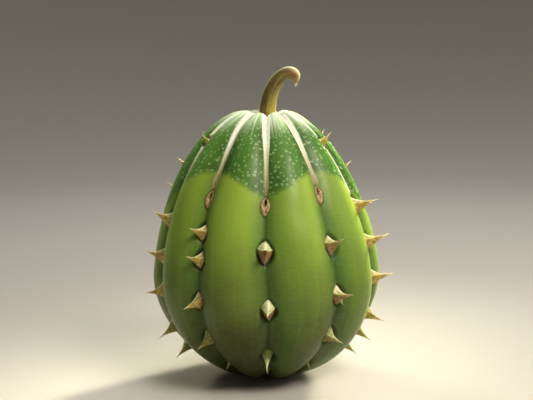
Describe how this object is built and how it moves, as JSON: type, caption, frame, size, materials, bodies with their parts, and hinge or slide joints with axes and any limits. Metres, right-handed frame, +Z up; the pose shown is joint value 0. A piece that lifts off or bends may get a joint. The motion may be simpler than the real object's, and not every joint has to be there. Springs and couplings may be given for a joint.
{
  "type": "horned melon",
  "caption": "Ribbed, egg-shaped horned melon with short thorns along its grooves and a hooked dry stem, standing on a small flat spot.",
  "frame": {"origin": "centre of the flat spot that the fruit stands on", "axes": "+Z up through the fruit towards the stem, -Y the side seen from the front, +X the side the stem hooks to"},
  "size_m": [0.0914, 0.0915, 0.1145],
  "materials": {
    "rind": "waxy green rind with pale speckles and cream stripes, satin sheen, tan horns",
    "stem": "dry, fibrous, matte with pale olive edges"
  },
  "bodies": {
    "root": {"fruit": "rind", "stem": "stem"}
  },
  "joints": []
}
